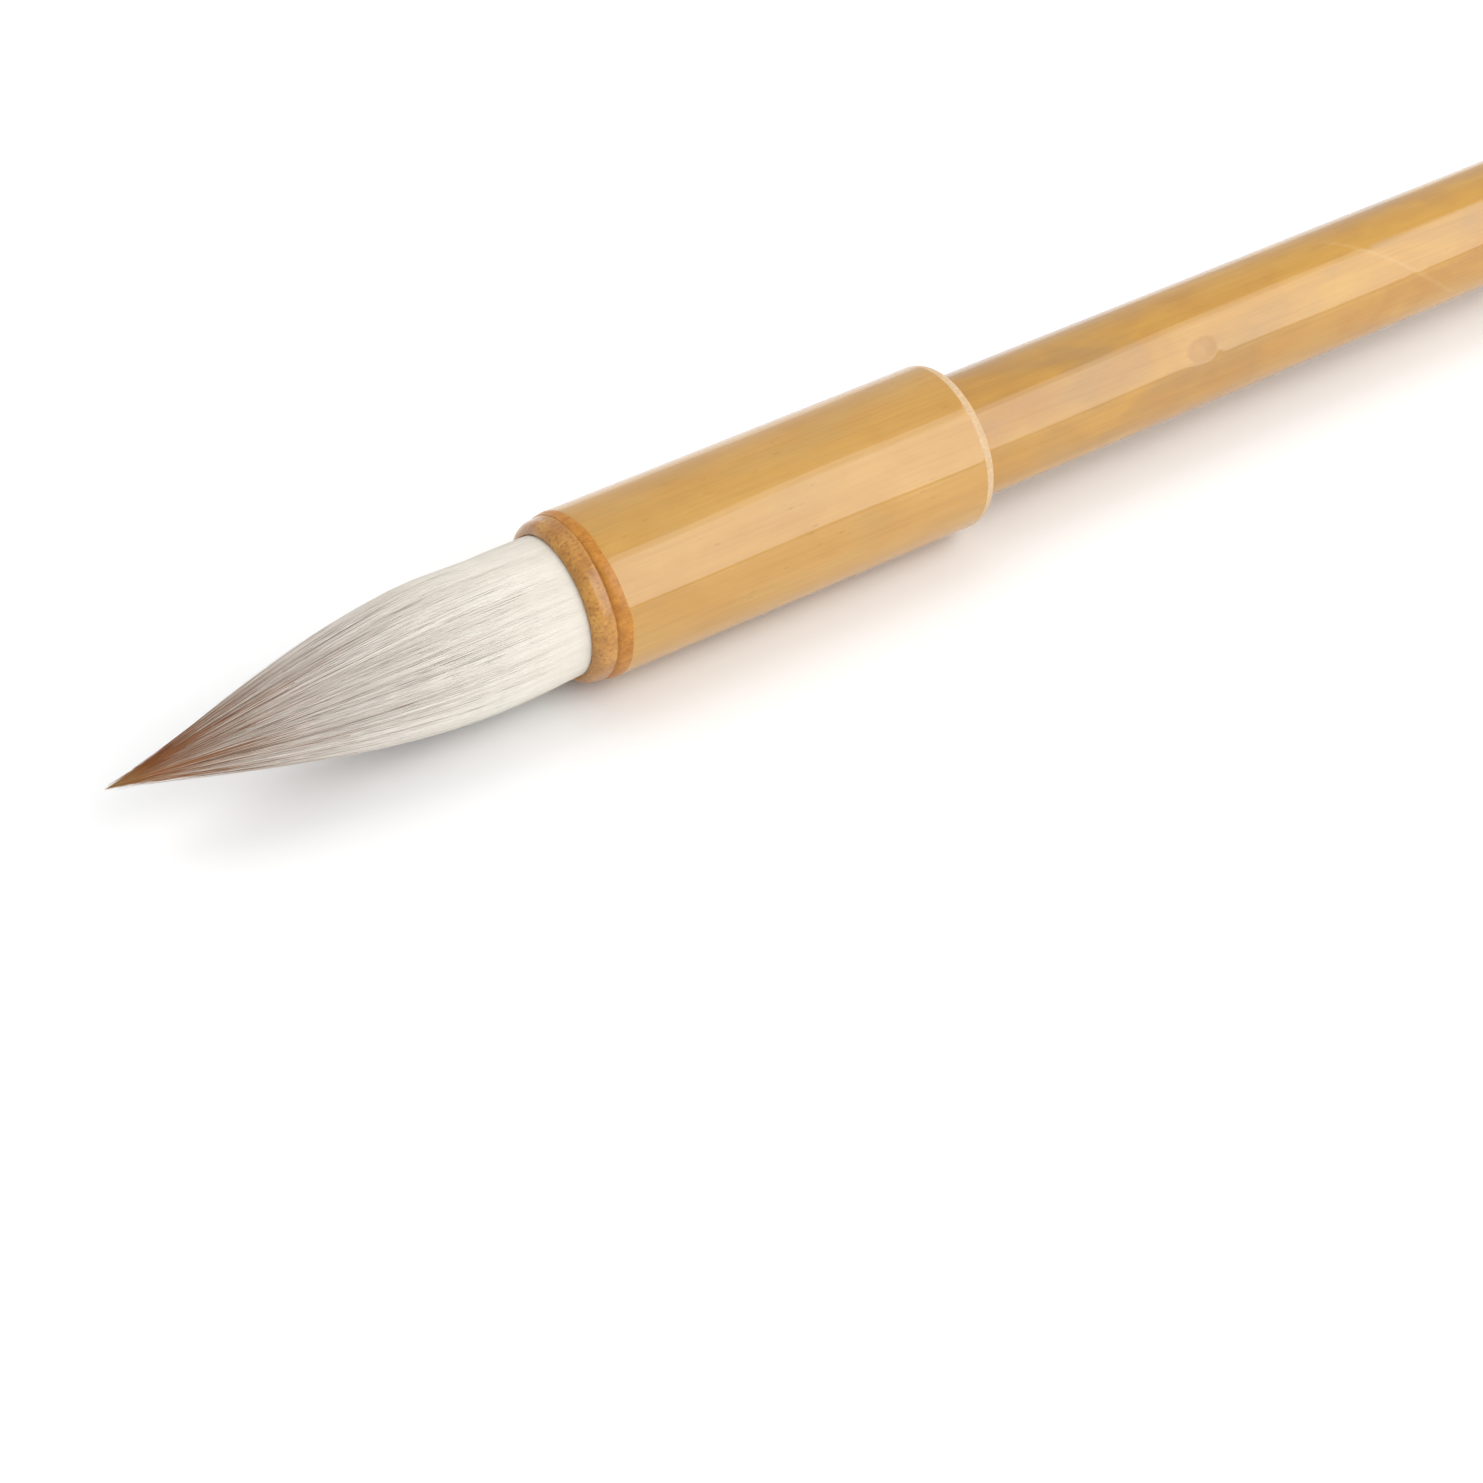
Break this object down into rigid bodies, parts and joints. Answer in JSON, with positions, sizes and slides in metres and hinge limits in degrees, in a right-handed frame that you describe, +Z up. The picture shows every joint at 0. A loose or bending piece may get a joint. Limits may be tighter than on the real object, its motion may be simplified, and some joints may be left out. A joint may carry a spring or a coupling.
{
  "type": "calligraphy brush",
  "caption": "Large calligraphy brush with a bamboo handle, a thicker bamboo ferrule and a tapered tuft of pale hair ending in a brown point.",
  "frame": {"origin": "on the ground under the middle of the brush's length, the ferrule's lowest line touching z = 0", "axes": "+X along the brush towards its tail, the hair's point at -X; +Z up, +Y across the brush"},
  "size_m": [0.29, 0.018, 0.0179],
  "materials": {
    "ferrule_bamboo": "lacquered",
    "handle_bamboo": "satin",
    "plug_wood": "satin",
    "cork": "rough",
    "rosin_hair": "resin",
    "binding_thread": "waxed thread",
    "white_hair": "soft animal hair",
    "lining_hair": "soft animal hair",
    "core_hair": "springy animal hair",
    "tip_hair": "soft animal hair",
    "point_hair": "springy animal hair"
  },
  "bodies": {
    "handle": {"ferrule_sleeve": "ferrule_bamboo", "handle_culm": "handle_bamboo", "culm_front_plug": "plug_wood", "tail_plug": "plug_wood", "socket_disc": "cork", "rosin_root": "rosin_hair", "root_binding": "binding_thread"},
    "tuft_belly": {"mantle_hair": "white_hair", "lining_hair": "lining_hair", "core_hair": "core_hair"},
    "tuft_tip": {"tip_hair": "tip_hair", "point_hair": "point_hair"}
  },
  "joints": [
    {"name": "belly_bend", "type": "hinge", "parent": "handle", "child": "tuft_belly", "pos_m": [-0.096, 0, 0.00897], "axis": [0, 0, 1], "range_deg": [-35, 35], "stiffness_Nm_per_rad": 0.03, "deforming": ["mantle_hair", "lining_hair", "core_hair"]},
    {"name": "tip_bend", "type": "hinge", "parent": "tuft_belly", "child": "tuft_tip", "pos_m": [-0.123, 0, 0.00897], "axis": [0, 0, 1], "range_deg": [-45, 45], "stiffness_Nm_per_rad": 0.006, "deforming": ["tip_hair", "point_hair"]}
  ]
}
